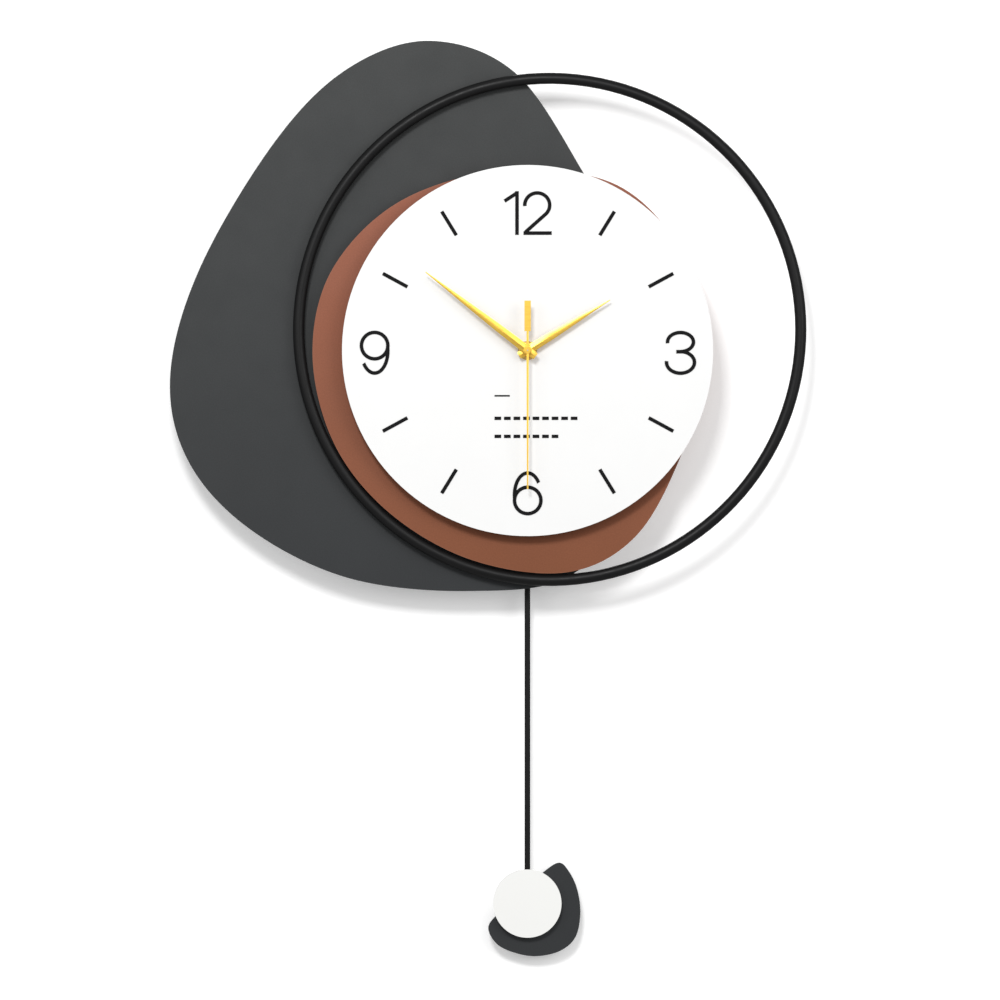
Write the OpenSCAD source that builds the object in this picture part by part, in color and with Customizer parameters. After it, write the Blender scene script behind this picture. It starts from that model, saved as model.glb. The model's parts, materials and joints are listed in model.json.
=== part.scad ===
// Pendulum wall clock. Front faces -Y, +X right, +Z up, wall plane y = 0.
// The origin is the middle of the keyhole hanger's head hole, on the wall plane.
// A depth is a distance in front of the wall, so depth d is y = -d.

/* [Hanging point] */
// How far the hand shaft is to the right of the hanging hole
arbor_right = 24; // [20:1:32]
// How far the hand shaft is below the hanging hole
arbor_drop = 150; // [145:1:158]
// Radius of the keyhole's head hole
keyhole_r = 4.5; // [4:0.1:4.8]
// Radius of the keyhole's slot end
keyhole_slot_r = 2.4; // [2:0.1:2.8]

/* [Boards] */
// Thickness of the charcoal back panel
panel_t = 8; // [7:0.5:9]
// Gap between the back panel and the accent panel
accent_gap = 4; // [4:0.5:6]
// Thickness of the terracotta accent panel
accent_t = 5; // [4:0.5:6]
// Gap between the accent panel and the dial
dial_gap = 7; // [6:0.5:9]
// Thickness of the dial
dial_t = 5; // [4:0.5:6]
// Radius of the dial
dial_r = 146; // [144:0.5:148]

/* [Ring] */
// Radius to the middle of the ring's bar
ring_r = 198; // [198:0.5:202]
// Diameter of the ring's bar
ring_bar_d = 9; // [7:0.5:9]
// Ring centre, to the right of the hand shaft
ring_right = 17.5; // [17:0.5:18]
// Ring centre, above the hand shaft
ring_up = 17; // [16.5:0.5:17]

/* [Dial marks] */
// Thickness of the numerals and marks
mark_t = 0.4; // [0.3:0.1:0.6]
// Stroke width of the numerals and marks
stroke = 2.8; // [2.4:0.1:3]
// Inner end of an hour mark, from the middle of the marks
mark_in = 108; // [100:1:115]
// Outer end of an hour mark, from the middle of the marks
mark_out = 130; // [125:1:135]

/* [Hands] */
// Length of the hour hand from the shaft
hour_len = 76; // [70:1:80]
// Length of the minute hand from the shaft
minute_len = 101; // [95:1:106]
// Length of the second hand from the shaft
second_len = 109; // [105:1:115]
// Greatest width of the hour and minute hands
hand_w = 7; // [6:0.5:8]
// Where the hour hand points, in degrees clockwise from 12
hour_angle = 58.5; // [0:0.5:360]
// Where the minute hand points, in degrees clockwise from 12
minute_angle = 307.5; // [0:0.5:360]
// Where the second hand points, in degrees clockwise from 12
second_angle = 180; // [0:1:360]

/* [Pendulum] */
// Pendulum pivot below the hand shaft
pivot_drop = 56; // [55:0.5:57]
// Diameter of the rod
rod_d = 4.5; // [3:0.5:4.5]
// Middle of the bob disc below the hand shaft
bob_drop = 437; // [420:1:450]
// Radius of the bob disc
bob_r = 27; // [25:0.5:28]
// Thickness of the bob disc
bob_t = 6; // [6:0.5:7]
// Thickness of the charcoal piece behind the bob disc
bob_back_t = 4; // [3:0.5:4.5]

/* [Gear train] */
// Teeth of the rotor pinion
rotor_teeth = 8; // [8]
// Teeth of the intermediate wheel that the rotor drives
inter_teeth = 40; // [40]
// Teeth of the intermediate pinion
inter_pinion_teeth = 8; // [8]
// Teeth of the seconds wheel
seconds_teeth = 48; // [48]
// Teeth of the seconds pinion
seconds_pinion_teeth = 8; // [8]
// Teeth of the third wheel
third_teeth = 60; // [60]
// Teeth of the third pinion
third_pinion_teeth = 8; // [8]
// Teeth of the centre wheel
centre_teeth = 64; // [64]
// Teeth of the cannon pinion on the minute tube
cannon_teeth = 12; // [12]
// Teeth of the minute wheel
minute_teeth = 36; // [36]
// Teeth of the minute pinion
minute_pinion_teeth = 10; // [10]
// Teeth of the hour wheel
hour_teeth = 40; // [40]

/* [Hidden] */
$fn = 96;
eps = 0.01;

// Colours
charcoal = "#46474a";
terracotta = "#a0664f";
white_paint = "#f6f6f3";
black_paint = "#1c1c1d";
gold = "#e8b62c";
brass = "#c9a24a";
steel = "#b5b8bb";
black_plastic = "#2a2a2c";
white_plastic = "#e9e7e0";

// Places on the wall, as [right, up] from the origin
arbor = [arbor_right, -arbor_drop];
ring_centre = [ring_right, ring_up];

// Depths in front of the wall
wall_skin = 1.5;
case_back = 3;
case_depth = 22;
case_front = case_back + case_depth;
washer_t = 1;
panel_back = case_front + washer_t;
panel_front = panel_back + panel_t;
accent_back = panel_front + accent_gap;
accent_front = accent_back + accent_t;
dial_back = accent_front + dial_gap;
dial_front = dial_back + dial_t;
ring_spacer_t = 2.5;
ring_seat = 0.5;
ring_depth = panel_front + ring_spacer_t - ring_seat + ring_bar_d / 2;

// Outlines, as [right, up] from the hand shaft, each a closed smooth curve through these points
panel_points = [[-77, 245], [-10, 220], [44, 141], [84, 62], [103, -20], [88, -108], [36, -176],
  [-43, -189.5], [-140.5, -179.5], [-220, -140], [-268.5, -85.5], [-282, -18], [-258, 67], [-199, 166],
  [-142, 223]];
accent_points = [[-169.5, -2], [-153.5, 65], [-99.5, 118.5], [-17, 142], [71, 130.5], [125, 71],
  [141.5, -12], [121.5, -81.5], [85.5, -146], [31.5, -174.5], [-43.5, -165], [-108.5, -128], [-152.5, -73]];
// The bob backing's outline, from the middle of the bob disc
bob_points = [[25, 32], [33, 25], [39.5, 11], [42, -8], [38, -27], [25.5, -38], [6, -42],
  [-12.5, -38.5], [-25, -31.5], [-31, -19.5], [-24, -9], [-7, 7], [12, 24]];
curve_steps = 14;

// The two hour marks of each quarter of the dial, in degrees from upright
mark_angles = [31.5, 61.5];
// Middle of the hour marks, from the hand shaft
marks_middle = [0.4, -1.4];
// Rows of plain bars on the dial, each [up from the hand shaft, number of bars]
rows_left = -26;
bar_rows = [[-54.6, 9], [-68.8, 7]];
bar_pitch = 7.5;
bar_size = [5.2, 2.6];

// Fastener places, from the hand shaft
accent_fixings = [[-115, 20], [25, 108], [22, -130]];
dial_fixings = [for (a = [30, 150, 270]) 95 * [cos(a), sin(a)]];
wall_fixings = [[-130, -110], [62, -95]];
// Where the ring's screws are, in degrees counter-clockwise from its right
ring_fixings = [108, 152, 206, 252];
hanger_fixings = [[0, 24], [0, -24]];
// Space behind the keyhole plate for the head of the wall screw
head_room_w = 10.4;
head_room_depth = 9;
keyhole_rise = 12;
// Spacers that rest on the wall
wall_spacer_d = 18;
wall_spacer_well = 8;
wall_pad_d = 17;
screw_d = 3;
screw_hole_d = 3.4;
pilot_d = screw_d + 0.1;
screw_head_d = 6;
screw_head_t = 2;
spacer_d = 9;
// How far a screw bites into the back panel, a thinner board and past the middle of the ring's bar
panel_bite = 5.5;
board_bite = 3;
ring_bite = 1;
tip_gap = 0.5;
// Holes for the shaft bush
board_shaft_hole_d = 9;
dial_shaft_hole_d = 8.4;

// Movement
case_w = 56;
case_top = 28;
case_bottom = 52;
case_wall = 1.6;
rear_wall = 1.5;
lid_t = 1.5;
lid_back = case_front - lid_t;
inside_back = case_back + rear_wall;
bay_top = -32;
bay_floor = 20;
battery_d = 14.2;
battery_len = 49;
battery_end = battery_len / 2 + 1.3;
contact_t = 0.4;
battery_up = -41.6;
battery_depth = 12;
tongue_w = 34;
tongue_bottom = -82;
tongue_front = 9;
coil_drop = 72;
bridge_back = 13.1;
bridge_front = 14.1;
bridge_posts = [[-22, -22], [22, -22], [22, 12], [-22, -2]];
bridge_post_d = 4;
bridge_screw_d = 1.5;
case_posts = [[-24.4, 24.4], [24.4, 24.4], [-24.4, -29], [24.4, -29]];
case_post_d = 4.4;
case_screw_d = 1.7;
case_screw_head_t = 1.1;
bay_wall = 1.2;
bay_floor_t = 1.5;
bearing_front = 6.5;
bearing_d = 3;
pocket_back = inside_back - 0.3;
bush_d = 7.8;
bush_bore_d = 5.3;
flange_back = 22.4;
brass_washer_t = 0.6;
washer_hole_d = bush_d + 0.4;
nut_front = dial_front + brass_washer_t + 2.8;
bush_front = nut_front + 1.2;
board_middle = [-15.8, 12.7];
motor_middle = [5, 21.3];
motor_depth = 10;

// Axes of the train, from the hand shaft
rotor_gap = 7.2;
inter_gap = 8.96;
third_gap = 13;
minute_gap = 13.6;
inter_turn = 50;
rotor_turn = 100;
third_turn = 225;
minute_turn = 315;
function polar(r, a) = r * [cos(a), sin(a)];
inter_axis = polar(inter_gap, inter_turn);
rotor_axis = inter_axis + polar(rotor_gap, rotor_turn);
third_axis = polar(third_gap, third_turn);
minute_axis = polar(minute_gap, minute_turn);

// Tooth modules, from the axis distances and tooth counts
rotor_mod = 2 * rotor_gap / (rotor_teeth + inter_teeth);
seconds_mod = 2 * inter_gap / (inter_pinion_teeth + seconds_teeth);
third_mod = 2 * third_gap / (seconds_pinion_teeth + third_teeth);
centre_mod = 2 * third_gap / (third_pinion_teeth + centre_teeth);
minute_mod = 2 * minute_gap / (cannon_teeth + minute_teeth);
hour_mod = 2 * minute_gap / (minute_pinion_teeth + hour_teeth);
tooth_root = 1.15;
pinion_tooth = [0.9, 0.44, 0.45];
wheel_tooth = [0.7, 0.46, 0.5];

// Layers of the train, each [back, front]
seconds_wheel_layer = [9, 9.8];
magnet_layer = [8, 11];
inter_pinion_layer = [8.2, 11];
rotor_pinion_layer = [11.2, 12.9];
inter_wheel_layer = [11.8, 12.6];
seconds_pinion_layer = [14.5, 16.1];
third_wheel_layer = [14.9, 15.7];
third_pinion_layer = [15.6, 18.6];
centre_wheel_layer = [17.2, 18];
cannon_layer = [17.9, 20.9];
minute_wheel_layer = [19.7, 20.5];
minute_pinion_layer = [20.4, 22.5];
hour_wheel_layer = [21.3, 22.1];
knob_layer = [0.8, 2.8];
// How far a hub reaches into the layers at its ends
joint_lap = 0.1;

// Arbors and tubes
arbor_back = 4.4;
third_arbor_front = 20.3;
third_bearing_back = 18.9;
press_gap = 0.04;
seconds_hub_d = 2.2;
arbor_d = 1;
rotor_arbor_d = 0.8;
stem_d = 2;
stem_front = 22.9;
knob_d = 12;
pivot_play = 0.1;
minute_tube_d = 3.2;
minute_tube_bore_d = 1.2;
hour_tube_d = 5.1;
hour_tube_bore_d = 3.4;
second_hand_back = dial_front + 11.4;
minute_hand_back = dial_front + 8.4;
hour_hand_back = dial_front + 5.6;

// Pendulum
pin_d = 2;
pin_front = 20.8;
lug_back = 17.6;
lug_w = 10;
pendulum_bore_d = 2.2;
pendulum_coil_d = 14;
pendulum_coil_t = 4;
hook_drop = 94;
hook_front = 18.6;
pivot_boss = [9.8, 16.8];
bar_layer = [11.6, 13.6];
rod_depth = 16.2;
eye_t = 1.6;
eye_r = 2.3;
hook_peg_r = 1.2;
rod_in_bob = 12;

// ---------- Shared shapes ----------

// A flat piece between two depths, its outline drawn as seen from the front
module slab(back, front) {
  translate([0, -back, 0]) rotate([90, 0, 0]) linear_extrude(front - back) children();
}

// A round bar along the depth
module pin(back, front, d) {
  translate([0, -back, 0]) rotate([90, 0, 0]) cylinder(h = front - back, d = d);
}

// A straight cone along the depth
module taper(back, front, back_d, front_d) {
  translate([0, -back, 0]) rotate([90, 0, 0]) cylinder(h = front - back, d1 = back_d, d2 = front_d);
}

// Moves a piece to a place on the wall, given as [right, up]
module at(place) {
  translate([place[0], 0, place[1]]) children();
}

function curve_point(a, b, c, d, t) = 0.5 * (2 * b + (c - a) * t
  + (2 * a - 5 * b + 4 * c - d) * t * t + (3 * b - a - 3 * c + d) * t * t * t);

// A closed smooth curve through the points
function closed_curve(points) = let (n = len(points)) [for (i = [0 : n - 1], s = [0 : curve_steps - 1])
  curve_point(points[(i + n - 1) % n], points[i], points[(i + 1) % n], points[(i + 2) % n], s / curve_steps)];

module round_rect(w, h, r) {
  square([w - 2 * r, h], center = true);
  square([w, h - 2 * r], center = true);
  for (x = [-1, 1], y = [-1, 1]) translate([x * (w / 2 - r), y * (h / 2 - r)]) circle(r);
}

// A ring with a round hole, between two depths
module washer(back, front, d, hole_d) {
  difference() {
    pin(back, front, d);
    pin(back - eps, front + eps, hole_d);
  }
}

// A cross-headed screw: its head's outer face, its seat and its tip are depths, in either order
module pan_screw(face, seat, tip, d, head_d) {
  way = sign(seat - face);
  recess_end = face + way * 0.55 * abs(seat - face);
  difference() {
    pin(min(face, seat), max(face, seat), head_d);
    slab(min(face - way * eps, recess_end), max(face - way * eps, recess_end)) {
      square([head_d * 0.6, head_d * 0.14], center = true);
      square([head_d * 0.14, head_d * 0.6], center = true);
    }
  }
  pin(min(seat, tip), max(seat, tip), d);
}

// A toothed outline: the tooth is [height above the pitch circle in modules, share of the pitch, tip share]
function gear_points(teeth, mod, tooth, first) = let (
    pitch_r = mod * teeth / 2,
    half = tooth[1] * 180 / teeth,
    corners = [[pitch_r - tooth_root * mod, -1.12 * half], [pitch_r, -half],
      [pitch_r + tooth[0] * mod, -tooth[2] * half], [pitch_r + tooth[0] * mod, tooth[2] * half],
      [pitch_r, half], [pitch_r - tooth_root * mod, 1.12 * half]])
  [for (k = [0 : teeth - 1], c = corners) polar(c[0], first + k * 360 / teeth + c[1])];

// A toothed wheel in a layer, with a twelve-sided hole that just clears its arbor
module gear(layer, teeth, mod, tooth, first, hole_d) {
  slab(layer[0], layer[1]) difference() {
    polygon(gear_points(teeth, mod, tooth, first));
    flat_hole(hole_d);
  }
}

module flat_hole(d) {
  circle(d = (d + press_gap) / cos(15), $fn = 12);
}

module flat_hub(back, front, d, hole_d) {
  slab(back, front) difference() {
    circle(d = d, $fn = 12);
    flat_hole(hole_d);
  }
}

// ---------- Boards ----------

module panel_outline() {
  polygon(closed_curve(panel_points));
}

module back_panel() {
  color(charcoal) difference() {
    at(arbor) slab(panel_back, panel_front) panel_outline();
    at(arbor) pin(panel_back - eps, panel_front + eps, board_shaft_hole_d);
    at(arbor) for (p = accent_fixings) at(p) pin(panel_back - eps, panel_front + eps, screw_hole_d);
    at(arbor + ring_centre) for (a = ring_fixings)
      at(polar(ring_r, a)) pin(panel_back - eps, panel_front + eps, screw_hole_d);
    at(arbor) for (p = wall_fixings) at(p) pin(panel_back - eps, panel_back + panel_bite + tip_gap, pilot_d);
    for (p = hanger_fixings) at(p) pin(panel_back - eps, panel_back + panel_bite + tip_gap, pilot_d);
  }
}

module accent_panel() {
  color(terracotta) at(arbor) difference() {
    slab(accent_back, accent_front) polygon(closed_curve(accent_points));
    pin(accent_back - eps, accent_front + eps, board_shaft_hole_d);
    for (p = accent_fixings) at(p) pin(accent_back - eps, accent_back + board_bite + tip_gap, pilot_d);
    for (p = dial_fixings) at(p) pin(accent_back - eps, accent_front + eps, screw_hole_d);
  }
}

module dial_plate() {
  color(white_paint) at(arbor) difference() {
    pin(dial_back, dial_front, 2 * dial_r);
    pin(dial_back - eps, dial_front + eps, dial_shaft_hole_d);
    for (p = dial_fixings) at(p) pin(dial_back - eps, dial_back + board_bite + tip_gap, pilot_d);
  }
}

// ---------- Dial printing ----------

// A bow of constant width along part of an ellipse, clockwise from one angle to another
module bow(middle, rx, ry, from, to) {
  steps = 40;
  function rim(side) = [for (i = [0 : steps]) let (a = from + (to - from) * i / steps)
    middle + [(rx + side * stroke / 2) * cos(a), (ry + side * stroke / 2) * sin(a)]];
  inner = rim(-1);
  polygon(concat(rim(1), [for (i = [steps : -1 : 0]) inner[i]]));
}

// A straight stroke between two points
module line(p, q) {
  d = q - p;
  translate(p) rotate(atan2(d[1], d[0])) translate([0, -stroke / 2]) square([norm(d), stroke]);
}

// A flat shape printed on the dial
module printed() {
  slab(dial_front, dial_front + mark_t) children();
}

module digit_1() {
  printed() line([10.4, 0], [10.4, 34.4]);
  printed() line([10.2, 32.9], [0.6, 26.6]);
}

module digit_2() {
  printed() bow([11.2, 23.4], 9.8, 9.6, 184, -46);
  printed() line([18.1, 16.6], [1.9, 2.2]);
  printed() line([0.4, stroke / 2], [22.6, stroke / 2]);
}

module digit_3() {
  printed() bow([11.9, 25.9], 10.2, 7.5, 187, -88);
  printed() line([8.6, 18.3], [13, 18.3]);
  printed() bow([11.9, 9.9], 11, 8.5, 88, -187);
}

module digit_6() {
  printed() translate([12.3, 11.7]) difference() {
    circle(11.8);
    circle(11.8 - stroke);
  }
  printed() bow([12.3, 16], 10.4, 17.3, 192, 34);
}

module digit_9() {
  at([24.6, 34.6]) rotate([0, 180, 0]) digit_6();
}

module dial_numerals() {
  color(black_paint) at(arbor) {
    at([-18.7, 91]) union() digit_1();
    at([-3.6, 91]) union() digit_2();
    at([108.4, -19.2]) union() digit_3();
    at([-12.2, -129.6]) union() digit_6();
    at([-132.6, -19]) union() digit_9();
  }
}

module hour_marks() {
  color(black_paint) at(arbor) {
    for (side = [-1, 1], rise = [-1, 1], a = mark_angles) {
      way = [side * sin(a), rise * cos(a)];
      printed() line(marks_middle + mark_in * way, marks_middle + mark_out * way);
    }
    // A short dash and two rows of plain bars under the hands
    printed() {
      translate([rows_left, -36.2]) square([12, 1.2]);
      for (row = bar_rows, i = [0 : row[1] - 1])
        translate([rows_left + bar_pitch * i, row[0]]) square(bar_size);
    }
  }
}

// ---------- Ring ----------

module ring() {
  color(black_paint) at(arbor + ring_centre) difference() {
    translate([0, -ring_depth, 0]) rotate([90, 0, 0]) rotate_extrude() translate([ring_r, 0])
      circle(d = ring_bar_d);
    for (a = ring_fixings) at(polar(ring_r, a)) {
      pin(panel_front, panel_front + ring_spacer_t, ring_bar_d + 2);
      pin(panel_front, ring_depth + ring_bite + tip_gap, pilot_d);
    }
  }
}

module ring_spacers() {
  color(black_plastic) at(arbor + ring_centre) for (a = ring_fixings)
    at(polar(ring_r, a)) washer(panel_front, panel_front + ring_spacer_t, 6.4, screw_hole_d);
}

module ring_screws() {
  color(steel) at(arbor + ring_centre) for (a = ring_fixings) at(polar(ring_r, a))
    pan_screw(panel_back - screw_head_t, panel_back, ring_depth + ring_bite, screw_d, screw_head_d);
}

// ---------- Spacers and screws of the boards ----------

module accent_spacers() {
  color(black_plastic) at(arbor) for (p = accent_fixings)
    at(p) washer(panel_front, accent_back, spacer_d, screw_hole_d);
}

module accent_screws() {
  color(steel) at(arbor) for (p = accent_fixings) at(p)
    pan_screw(panel_back - screw_head_t, panel_back, accent_back + board_bite, screw_d, screw_head_d);
}

module dial_spacers() {
  color(black_plastic) at(arbor) for (p = dial_fixings)
    at(p) washer(accent_front, dial_back, spacer_d, screw_hole_d);
}

module dial_screws() {
  color(steel) at(arbor) for (p = dial_fixings) at(p)
    pan_screw(accent_back - screw_head_t, accent_back, dial_back + board_bite, screw_d, screw_head_d);
}

// ---------- Hanging and wall contact ----------

module hanger_block() {
  color("#c9a679") difference() {
    slab(wall_skin, panel_back) round_rect(34, 64, 5);
    pin(wall_skin - eps, wall_skin + head_room_depth, head_room_w);
    slab(wall_skin - eps, wall_skin + head_room_depth)
      translate([-head_room_w / 2, 0]) square([head_room_w, keyhole_rise]);
    at([0, keyhole_rise]) pin(wall_skin - eps, wall_skin + head_room_depth, head_room_w);
    for (p = hanger_fixings) at(p) pin(wall_skin - eps, panel_back + eps, screw_hole_d);
  }
}

module keyhole_plate() {
  color(steel) difference() {
    slab(0, wall_skin) round_rect(24, 60, 4);
    pin(-eps, wall_skin + eps, 2 * keyhole_r);
    slab(-eps, wall_skin + eps) translate([-keyhole_slot_r, 0]) square([2 * keyhole_slot_r, keyhole_rise]);
    at([0, keyhole_rise]) pin(-eps, wall_skin + eps, 2 * keyhole_slot_r);
    for (p = hanger_fixings) at(p) {
      pin(-eps, wall_skin + eps, screw_hole_d);
      taper(-eps, wall_skin - 0.1, 6.4, screw_hole_d);
    }
  }
}

module hanger_screws() {
  color(steel) for (p = hanger_fixings) at(p) {
    difference() {
      taper(0.1, wall_skin, 6, screw_d);
      slab(0, 0.7) {
        square([3.4, 0.8], center = true);
        square([0.8, 3.4], center = true);
      }
    }
    pin(wall_skin, panel_back + panel_bite, screw_d);
  }
}

module wall_spacers() {
  color(black_plastic) at(arbor) for (p = wall_fixings) at(p) difference() {
    pin(wall_skin, panel_back, wall_spacer_d);
    pin(wall_skin - eps, wall_skin + wall_spacer_well, screw_head_d + 2);
    pin(wall_skin - eps, panel_back + eps, screw_hole_d);
  }
}

module wall_spacer_screws() {
  color(steel) at(arbor) for (p = wall_fixings) at(p)
    pan_screw(wall_skin + wall_spacer_well - screw_head_t, wall_skin + wall_spacer_well,
      panel_back + panel_bite, screw_d, screw_head_d);
}

module wall_pads() {
  color("#5b5b5d") at(arbor) for (p = wall_fixings) at(p) pin(0, wall_skin, wall_pad_d);
}

// ---------- Movement case ----------

// The case's outline, or the outline of the space inside a wall of the given thickness
module case_outline(wall) {
  translate([0, (case_top - case_bottom) / 2])
    round_rect(case_w - 2 * wall, case_top + case_bottom - 2 * wall, 4 - wall);
}

module rear_case() {
  color(black_plastic) at(arbor) difference() {
    union() {
      difference() {
        slab(case_back, lid_back) case_outline(0);
        slab(inside_back, lid_back + eps) case_outline(case_wall);
      }
      // The wall above the battery bay, and the bay's floor
      slab(inside_back, lid_back)
        translate([-case_w / 2 + 1, bay_top - bay_wall]) square([case_w - 2, bay_wall]);
      slab(bay_floor, bay_floor + bay_floor_t)
        translate([-case_w / 2 + 1, -case_bottom + 1]) square([case_w - 2, case_bottom + bay_top - 1]);
      // Posts and bearings
      for (p = bridge_posts) at(p) pin(case_back + 1, bridge_back, bridge_post_d);
      for (p = case_posts) at(p) pin(case_back + 1, lid_back, case_post_d);
      for (p = [[0, 0], inter_axis, rotor_axis, third_axis])
        at(p) pin(case_back + 1, bearing_front, bearing_d);
      at(minute_axis) pin(case_back + 1, bearing_front, stem_d + 2.6);
      // The tongue that carries the pendulum's coil and pin
      slab(case_back, tongue_front) translate([0, (tongue_bottom - case_bottom) / 2 + 1])
        round_rect(tongue_w, -tongue_bottom - case_bottom + 2, 4);
    }
    // The battery bay, open to the rear
    slab(case_back - eps, bay_floor) translate([-case_w / 2 + case_wall, -case_bottom + case_wall])
      square([case_w - 2 * case_wall, case_bottom + bay_top - bay_wall - case_wall]);
    for (p = [[0, 0], inter_axis, third_axis])
      at(p) pin(pocket_back, bearing_front + eps, arbor_d + 2 * pivot_play);
    at(rotor_axis) pin(pocket_back, bearing_front + eps, rotor_arbor_d + 2 * pivot_play);
    at(minute_axis) pin(case_back - eps, bearing_front + eps, stem_d + 2 * pivot_play);
    for (p = bridge_posts) at(p) pin(bridge_back - 5, bridge_back + eps, bridge_screw_d + 0.1);
    for (p = case_posts) at(p) pin(lid_back - 8, lid_back + eps, case_screw_d + 0.1);
    at([0, -pivot_drop]) pin(inside_back, tongue_front + eps, pin_d + press_gap);
    at([0, -coil_drop]) pin(tongue_front - pendulum_coil_t, tongue_front + eps, pendulum_coil_d + 0.4);
  }
}

module front_case() {
  color(black_plastic) at(arbor) difference() {
    union() {
      slab(lid_back, case_front) case_outline(0);
      // A lip that fits inside the rear case
      difference() {
        slab(lid_back - 1.2, lid_back) translate([0, 0.2]) round_rect(41, 45, 3);
        slab(lid_back - 1.2 - eps, lid_back - eps) translate([0, 0.2]) round_rect(39, 43, 2);
      }
      at(third_axis) pin(third_bearing_back, lid_back + eps, bearing_d - 0.2);
      // The lug that holds the front end of the pendulum's pin
      slab(lug_back, case_front)
        translate([-lug_w / 2, -pivot_drop - 4]) square([lug_w, pivot_drop - case_bottom + 3.8]);
      slab(lid_back, case_front)
        translate([-lug_w / 2, -pivot_drop - 4]) square([lug_w, pivot_drop - case_bottom + 6]);
    }
    pin(lid_back - 2, case_front + eps, bush_d + 0.4);
    at(third_axis) pin(third_bearing_back - eps, third_arbor_front + 0.2, arbor_d + 2 * pivot_play);
    at([0, -pivot_drop]) pin(lug_back - eps, pin_front + 0.2, pin_d + press_gap);
    for (p = case_posts) at(p) {
      pin(lid_back - eps, case_front + eps, case_screw_d + 0.5);
      taper(case_front - case_screw_head_t, case_front + eps, case_screw_d + 0.5, 4);
    }
  }
}

module case_screws() {
  color(steel) at(arbor) for (p = case_posts) at(p) {
    difference() {
      taper(case_front - case_screw_head_t, case_front - 0.1, case_screw_d, 3.6);
      slab(case_front - 0.5, case_front) {
        square([2, 0.5], center = true);
        square([0.5, 2], center = true);
      }
    }
    pin(lid_back - 7.5, case_front - case_screw_head_t, case_screw_d);
  }
}

module train_bridge() {
  color(white_plastic) at(arbor) difference() {
    slab(bridge_back, bridge_front) translate([0, -3.6]) round_rect(49, 42, 3);
    for (p = [inter_axis, third_axis])
      at(p) pin(bridge_back - eps, bridge_front + eps, arbor_d + 2 * pivot_play);
    at(rotor_axis) pin(bridge_back - eps, bridge_front + eps, rotor_arbor_d + 2 * pivot_play);
    at(minute_axis) pin(bridge_back - eps, bridge_front + eps, stem_d + 2 * pivot_play);
    // Room for the hub of the seconds wheel
    pin(bridge_back - eps, bridge_front + eps, 2 * seconds_hub_d);
    for (p = bridge_posts) at(p) pin(bridge_back - eps, bridge_front + eps, bridge_screw_d + 0.3);
  }
}

module bridge_screws() {
  color(steel) at(arbor) for (p = bridge_posts) at(p)
    pan_screw(bridge_front + 1, bridge_front, bridge_back - 4, bridge_screw_d, 2 * bridge_screw_d);
}

module shaft_bush() {
  color(brass) at(arbor) difference() {
    union() {
      pin(flange_back, lid_back, 12);
      pin(lid_back, bush_front - 0.5, bush_d);
      taper(bush_front - 0.5, bush_front, bush_d, bush_d - 1);
    }
    pin(flange_back - eps, bush_front + eps, bush_bore_d);
  }
}

module rubber_washer() {
  color("#222222") at(arbor) washer(case_front, panel_back, 22, washer_hole_d);
}

module brass_washer() {
  color(brass) at(arbor) washer(dial_front, dial_front + brass_washer_t, 15, washer_hole_d);
}

module bush_nut() {
  color(brass) at(arbor) difference() {
    slab(dial_front + brass_washer_t, nut_front) circle(d = 13.8, $fn = 6);
    pin(dial_front, nut_front + eps, bush_d + 0.06);
  }
}

// ---------- Electrics of the movement ----------

module circuit_board() {
  color("#2f6b3c") at(arbor) at(board_middle) {
    slab(6, 7) square([12.4, 17.4], center = true);
    // The clock chip under its black resin cap
    at([2.4, -3.5]) taper(7, 7.9, 6, 4.4);
    for (x = [-4, 4]) at([x, 0]) pin(inside_back, 6, 2.4);
  }
}

module quartz_crystal() {
  color(steel) at(arbor) at(board_middle + [-3.4, 1.2]) {
    translate([0, -8.1, 0]) cylinder(h = 6, d = 2);
  }
}

module motor_stator() {
  color(steel) at(arbor) {
    slab(8.5, 9.5) difference() {
      union() {
        translate([-8, 9.2]) square([26, 8.4]);
        for (x = [-8, 15]) translate([x, 17.4]) square([3, 5.6]);
      }
      translate(rotor_axis) circle(d = 6.2);
    }
    // The coil's core, a strip laid across the two legs
    slab(9.5, 10.5) translate([-8, motor_middle[1] - 1]) square([26, 2]);
  }
}

// A box hollowed for the coil's core, along X
module core_hole(from, to) {
  slab(motor_depth - 0.55, motor_depth + 0.55)
    translate([from - eps, motor_middle[1] - 1.05]) square([to - from + 2 * eps, 2.1]);
}

module tube_x(from, to, d) {
  translate([from, -motor_depth, motor_middle[1]]) rotate([0, 90, 0]) cylinder(h = to - from, d = d);
}

module coil_bobbin() {
  color(white_plastic) at(arbor) difference() {
    union() {
      tube_x(-4, 14, 3.2);
      tube_x(-4, -3.2, 6);
      tube_x(13.2, 14, 6);
    }
    core_hole(-4, 14);
  }
}

module motor_coil() {
  color("#b5652c") at(arbor) difference() {
    tube_x(-3.2, 13.2, 5.4);
    tube_x(-3.2 - eps, 13.2 + eps, 3.2);
  }
}

module battery() {
  color("#3c6e9e") at(arbor) translate([0, -battery_depth, battery_up]) rotate([0, 90, 0]) {
    translate([0, 0, -battery_len / 2]) cylinder(h = battery_len, d = battery_d);
    translate([0, 0, battery_len / 2]) cylinder(h = battery_end - battery_len / 2, d = 5.4);
  }
}

module positive_contact() {
  color(steel) at(arbor) {
    slab(7, 17) translate([battery_end + 0.05, battery_up - 4.5]) square([contact_t, 9]);
    // The bent end, clear of the battery
    slab(17, 17 + contact_t) translate([battery_len / 2 + 0.2, battery_up - 4.5])
      square([battery_end + 0.05 + contact_t - battery_len / 2 - 0.2, 9]);
  }
}

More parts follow.
